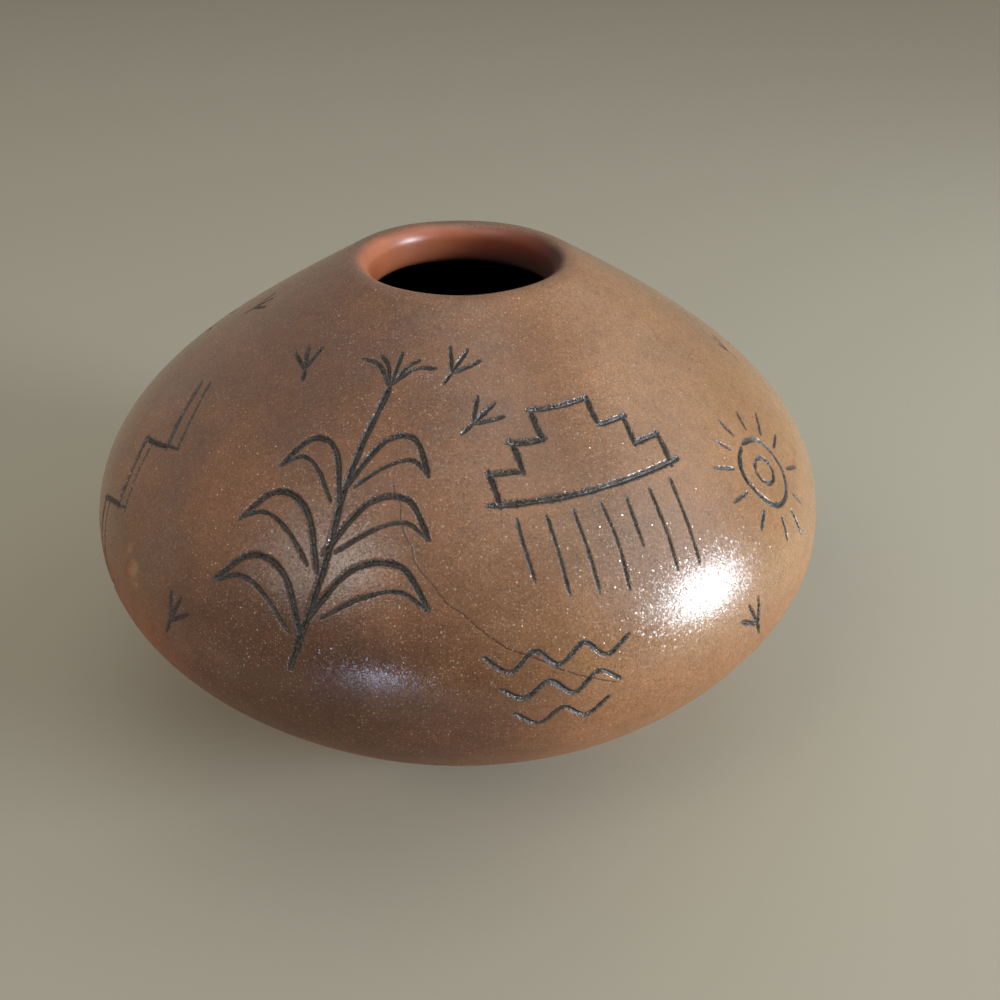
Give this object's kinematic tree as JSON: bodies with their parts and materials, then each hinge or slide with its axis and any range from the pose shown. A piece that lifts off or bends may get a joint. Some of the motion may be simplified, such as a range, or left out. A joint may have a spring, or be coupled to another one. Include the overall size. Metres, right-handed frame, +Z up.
{
  "type": "coil-built seed pot",
  "caption": "Squat closed clay jar with a flat foot, full round belly, low sloping shoulder and a small rolled mouth; stores seeds poured in and out through the mouth.",
  "frame": {"origin": "centre of the foot, on the surface the pot stands on", "axes": "+Z up along the axis of the pot; -Y faces the viewer of the picture"},
  "size_m": [0.127, 0.127, 0.083],
  "materials": {
    "clay": "brown low-fired clay with mica flecks, stone-burnished to a soft gloss, red slip inside the lip"
  },
  "bodies": {
    "root": {"base_saucer": "clay", "lower_coil_1": "clay", "lower_coil_2": "clay", "lower_coil_3": "clay", "lower_coil_4": "clay", "shoulder_coil_1": "clay", "shoulder_coil_2": "clay", "shoulder_coil_3": "clay", "shoulder_coil_4": "clay", "rim_coil": "clay"}
  },
  "joints": []
}
